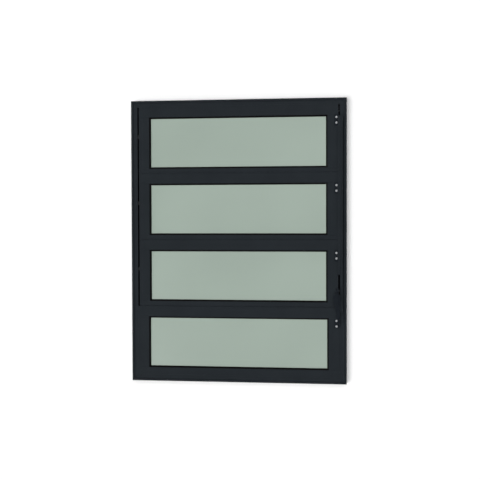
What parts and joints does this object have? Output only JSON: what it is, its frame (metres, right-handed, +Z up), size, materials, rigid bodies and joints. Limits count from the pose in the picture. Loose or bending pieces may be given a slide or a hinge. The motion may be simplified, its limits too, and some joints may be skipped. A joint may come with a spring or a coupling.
{
  "type": "pivot window",
  "caption": "Black aluminium pivot window: glazed leaves on horizontal pivots, linked by a bar to one hand lever, over a fixed glazed light.",
  "frame": {"origin": "middle of the sill's flat underside, half way through the frame's depth", "axes": "+X to the right seen from the room, towards the lever; +Y out of the room; +Z up"},
  "size_m": [0.613, 0.0547, 0.8],
  "materials": {
    "coated_aluminium": "matte charcoal black powder coat on extruded profiles",
    "coated_lever": "satin black coat on cast and pressed fittings",
    "tinted_glass": "pale grey-green reflective float glass, 4 mm",
    "black_rubber": "black glazing rubber",
    "rivet_steel": "blackened steel rivets and pins",
    "black_nylon": "black moulded nylon",
    "brush_pile": "black fibre brush seal",
    "screw_steel": "bright zinc-plated pan-head screws"
  },
  "bodies": {
    "root": {"fixed_bottom_rail": "coated_aluminium", "fixed_gasket": "black_rubber", "fixed_glass": "tinted_glass", "fixed_stile_left": "coated_aluminium", "fixed_stile_right": "coated_aluminium", "frame_head": "coated_aluminium", "frame_jamb_left": "coated_aluminium", "frame_jamb_right": "coated_aluminium", "frame_sill": "coated_aluminium", "jamb_brush_left": "brush_pile", "jamb_brush_right": "brush_pile", "leaf_1_bottom_rail": "coated_aluminium", "leaf_1_gasket": "black_rubber", "leaf_1_glass": "tinted_glass", "leaf_1_link_bracket": "coated_lever", "leaf_1_pivots": "rivet_steel", "leaf_1_stile_left": "coated_aluminium", "leaf_1_stile_right": "coated_aluminium", "leaf_1_top_rail": "coated_aluminium", "leaf_2_bottom_rail": "coated_aluminium", "leaf_2_gasket": "black_rubber", "leaf_2_glass": "tinted_glass", "leaf_2_link_bracket": "coated_lever", "leaf_2_pivots": "rivet_steel", "leaf_2_stile_left": "coated_aluminium", "leaf_2_stile_right": "coated_aluminium", "leaf_2_top_rail": "coated_aluminium", "leaf_3_bottom_rail": "coated_aluminium", "leaf_3_gasket": "black_rubber", "leaf_3_glass": "tinted_glass", "leaf_3_link_bracket": "coated_lever", "leaf_3_pivots": "rivet_steel", "leaf_3_stile_left": "coated_aluminium", "leaf_3_stile_right": "coated_aluminium", "leaf_3_top_rail": "coated_aluminium", "lever": "coated_lever", "lever_base": "coated_lever", "lever_pin": "rivet_steel", "link_bar": "coated_aluminium", "link_pins": "rivet_steel", "pivot_bushes": "black_nylon", "transom": "coated_aluminium"}
  },
  "joints": []
}
